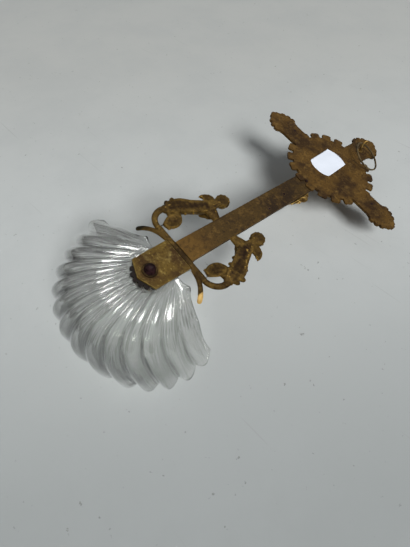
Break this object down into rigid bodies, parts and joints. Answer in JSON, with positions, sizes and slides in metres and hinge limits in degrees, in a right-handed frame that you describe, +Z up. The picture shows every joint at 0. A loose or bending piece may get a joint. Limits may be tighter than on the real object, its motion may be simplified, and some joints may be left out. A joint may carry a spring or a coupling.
{
  "type": "holy water stoup",
  "caption": "Wall-hung holy water stoup: ornate brass cross with corpus and angel brackets above a clear ribbed glass shell bowl, with a hanging ring on the back.",
  "frame": {"origin": "centre of the hanging eye behind the top arm of the cross, where the ring hangs and the stoup's weight is carried; the flat backs of the castings lie 5.3 mm in front of it", "axes": "+Z up along the shaft, +X to the right seen from the front, +Y back into the wall; the front faces -Y"},
  "size_m": [0.112, 0.0625, 0.2482],
  "materials": {
    "aged_brass": "dull dark brown patina",
    "yellow_brass": "worn, brown in the hollows",
    "plate_brass": "worn olive brown",
    "gilt_brass": "bright old gilding",
    "ring_wire": "dark grey brown wire",
    "dark_iron": "near black",
    "dark_leather": "dark and dry",
    "clear_glass": "clear pressed glass",
    "label_paper": "plain white paper"
  },
  "bodies": {
    "stoup": {"cross_head": "aged_brass", "shaft": "aged_brass", "neck_pin": "dark_iron", "body_pins": "dark_iron", "hand_pins": "dark_iron", "corpus": "gilt_brass", "claw_bar": "yellow_brass", "angel_bracket_right": "yellow_brass", "angel_bracket_left": "yellow_brass", "shell_plate": "plate_brass", "back_pad": "dark_leather", "glass_shell": "clear_glass", "front_pad": "dark_leather", "shell_rosette": "gilt_brass", "shell_screw": "gilt_brass", "nut_washer": "dark_iron", "dome_nut": "dark_iron", "ring_eye": "gilt_brass", "stock_label": "label_paper"},
    "ring": {"hanging_ring": "ring_wire"}
  },
  "joints": [
    {"name": "ring_swing", "type": "hinge", "parent": "stoup", "child": "ring", "pos_m": [0, 0, 0], "axis": [0.866, 0, -0.5], "range_deg": [0, 175]}
  ]
}
